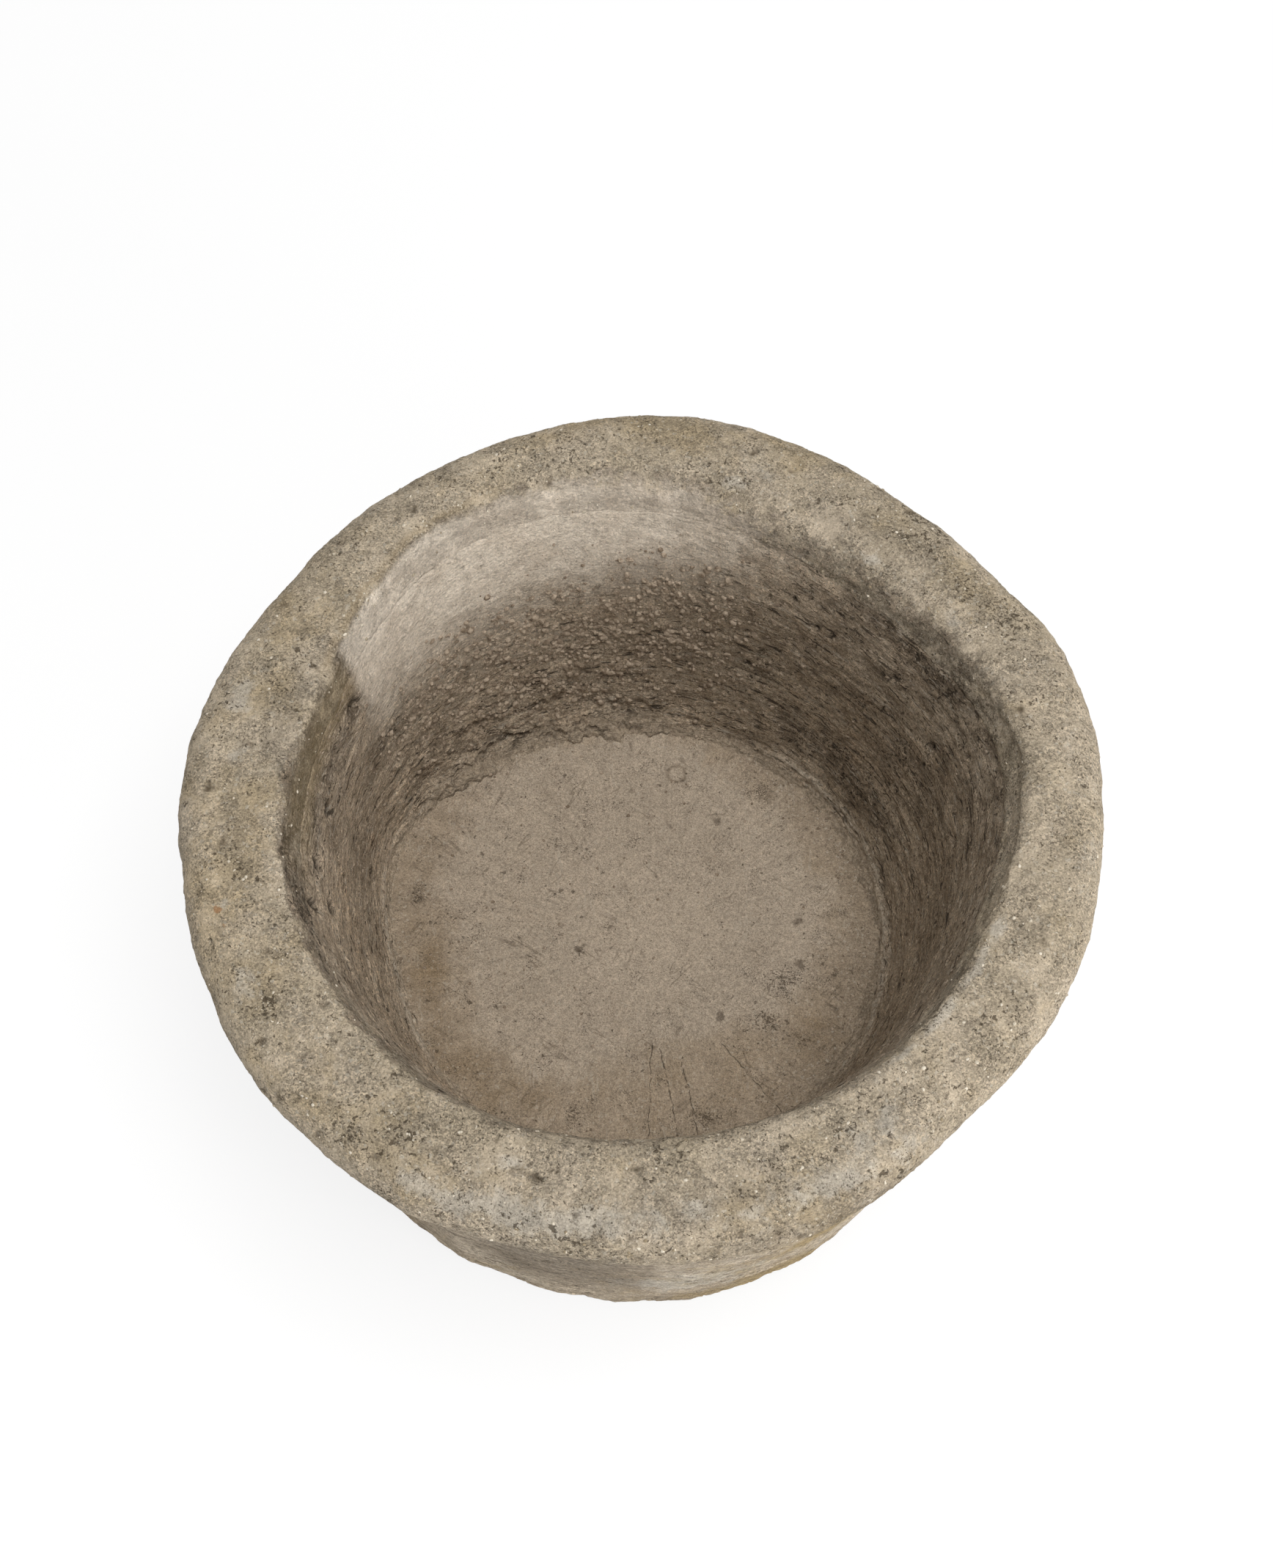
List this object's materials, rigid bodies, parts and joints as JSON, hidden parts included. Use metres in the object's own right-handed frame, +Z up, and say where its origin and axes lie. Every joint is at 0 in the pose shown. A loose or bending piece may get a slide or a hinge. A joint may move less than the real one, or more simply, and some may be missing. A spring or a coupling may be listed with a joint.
{
  "type": "round stone planter",
  "caption": "Heavy round stone planter bowl: thick worn rim collar over a tapered wall, coated hollow and flat floor; stands free on the ground.",
  "frame": {"origin": "on the ground under the middle of the rim", "axes": "+Z up through the mouth, -Y towards the front, +X to the right seen from the front"},
  "size_m": [0.6094, 0.6116, 0.315],
  "materials": {
    "wall_stone": "rough, weathered, buff grey",
    "rim_stone": "worn and pitted, buff with lime bloom",
    "inner_render": "dragged and gritty, brown grey",
    "floor_screed": "floated, fine pitted, pale brown grey"
  },
  "bodies": {
    "root": {"floor_slab": "wall_stone", "wall_ring": "wall_stone", "rim_collar": "rim_stone", "wall_render": "inner_render", "floor_screed": "floor_screed"}
  },
  "joints": []
}
